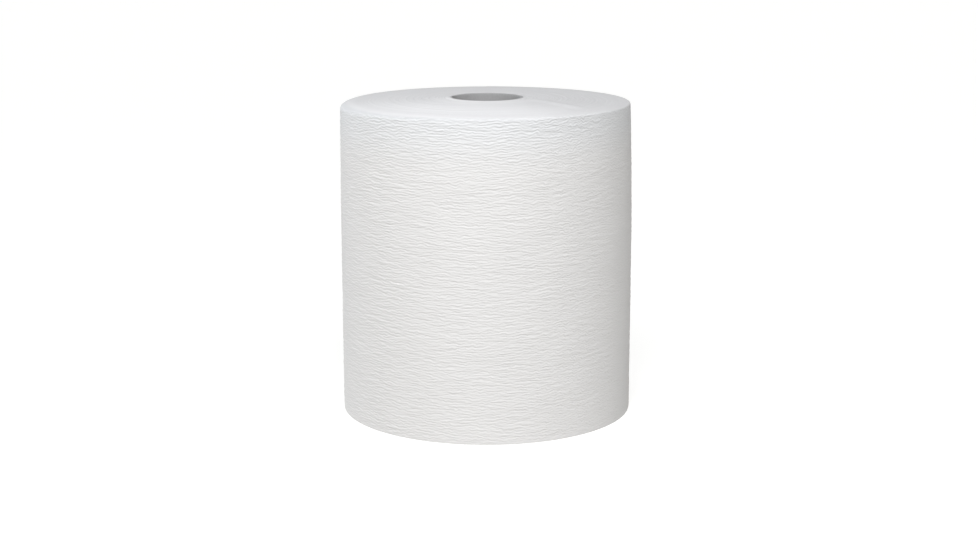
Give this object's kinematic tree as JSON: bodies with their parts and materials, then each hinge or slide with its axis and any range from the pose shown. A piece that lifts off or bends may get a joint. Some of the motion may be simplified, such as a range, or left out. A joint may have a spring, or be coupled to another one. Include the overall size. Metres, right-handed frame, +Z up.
{
  "type": "paper towel roll",
  "caption": "Roll of white creped paper towel wound on a grey board tube, standing on its end, with an open bore for a spindle or end plugs.",
  "frame": {"origin": "on the roll's axis at its lower end, in the middle of the face it stands on", "axes": "+Z up along the bore, +X to the right and +Y away from the front; the free end of the last turn is at +Y, the back"},
  "size_m": [0.1889, 0.1892, 0.2032],
  "materials": {
    "towel_paper": "matte",
    "tube_board": "matte"
  },
  "bodies": {
    "root": {"towel_roll": "towel_paper", "core": "tube_board"}
  },
  "joints": []
}
